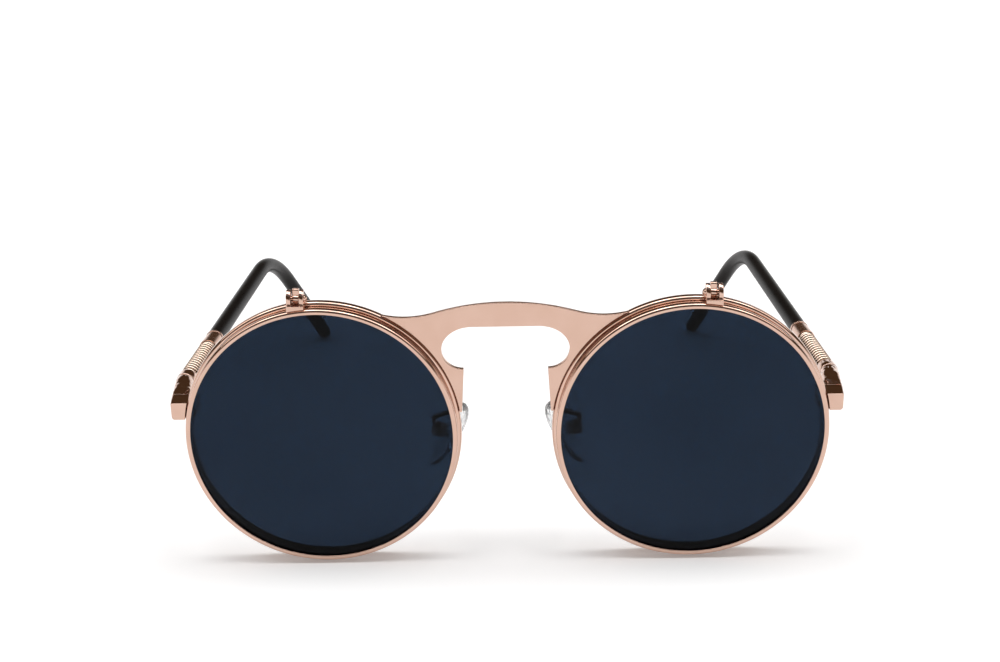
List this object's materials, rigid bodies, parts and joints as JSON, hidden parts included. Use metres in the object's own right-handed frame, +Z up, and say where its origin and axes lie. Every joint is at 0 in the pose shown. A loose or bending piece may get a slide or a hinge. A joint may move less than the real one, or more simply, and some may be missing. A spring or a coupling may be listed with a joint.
{
  "type": "flip up sunglasses",
  "caption": "Round metal glasses with hinged tinted lenses that flip up, a keyhole bridge, clear nose pads and folding temples with a wound spring and black sleeves.",
  "frame": {"origin": "on the table, in the middle of the whole object", "axes": "+X to the right as seen from the front, +Y back along the temples, +Z up"},
  "size_m": [0.1332, 0.1358, 0.056],
  "materials": {
    "rose_gold_plate": "rose gold plate, fine polish",
    "rose_gold_rim": "rose gold plate, polished",
    "rose_gold_fitting": "rose gold plate, polished",
    "rose_gold_wire": "rose gold plate, drawn wire",
    "rose_gold_spring": "rose gold plate, wound wire",
    "screw_gold": "turned and plated",
    "tinted_lens": "dark grey-blue tint, polished",
    "clear_lens": "clear, polished",
    "pad_silicone": "clear silicone",
    "sleeve_black": "glossy black"
  },
  "bodies": {
    "front_frame": {"bridge_plate": "rose_gold_plate", "rim_left": "rose_gold_rim", "rim_right": "rose_gold_rim", "clear_lens_left": "clear_lens", "clear_lens_right": "clear_lens", "endpiece_left": "rose_gold_fitting", "endpiece_right": "rose_gold_fitting", "flip_hinge_base_left": "rose_gold_fitting", "flip_hinge_base_right": "rose_gold_fitting", "pad_arm_left": "rose_gold_wire", "pad_arm_right": "rose_gold_wire", "nose_pad_left": "pad_silicone", "nose_pad_right": "pad_silicone", "temple_hinge_screw_left": "screw_gold", "temple_hinge_screw_right": "screw_gold", "nose_pad_screws": "screw_gold", "rim_lock_screws": "screw_gold"},
    "flip_left": {"flip_rim_left": "rose_gold_rim", "tinted_lens_left": "tinted_lens", "flip_bracket_left": "rose_gold_fitting", "flip_hinge_screw_left": "screw_gold"},
    "temple_left": {"temple_shank_left": "rose_gold_fitting", "temple_core_left": "rose_gold_wire", "temple_spring_left": "rose_gold_spring", "temple_ferrule_left": "rose_gold_fitting", "temple_sleeve_left": "sleeve_black"},
    "flip_right": {"flip_rim_right": "rose_gold_rim", "tinted_lens_right": "tinted_lens", "flip_bracket_right": "rose_gold_fitting", "flip_hinge_screw_right": "screw_gold"},
    "temple_right": {"temple_shank_right": "rose_gold_fitting", "temple_core_right": "rose_gold_wire", "temple_spring_right": "rose_gold_spring", "temple_ferrule_right": "rose_gold_fitting", "temple_sleeve_right": "sleeve_black"}
  },
  "joints": [
    {"name": "flip_left_hinge", "type": "hinge", "parent": "front_frame", "child": "flip_left", "pos_m": [-0.0387, -0.06535, 0.0541], "axis": [-1, 0, 0], "range_deg": [0, 100]},
    {"name": "temple_left_hinge", "type": "hinge", "parent": "front_frame", "child": "temple_left", "pos_m": [-0.06115, -0.05895, 0.0316], "axis": [0, 0, -1], "range_deg": [0, 87]},
    {"name": "flip_right_hinge", "type": "hinge", "parent": "front_frame", "child": "flip_right", "pos_m": [0.0387, -0.06535, 0.0541], "axis": [-1, 0, 0], "range_deg": [0, 100]},
    {"name": "temple_right_hinge", "type": "hinge", "parent": "front_frame", "child": "temple_right", "pos_m": [0.06115, -0.05895, 0.0316], "axis": [0, 0, 1], "range_deg": [0, 77]}
  ]
}
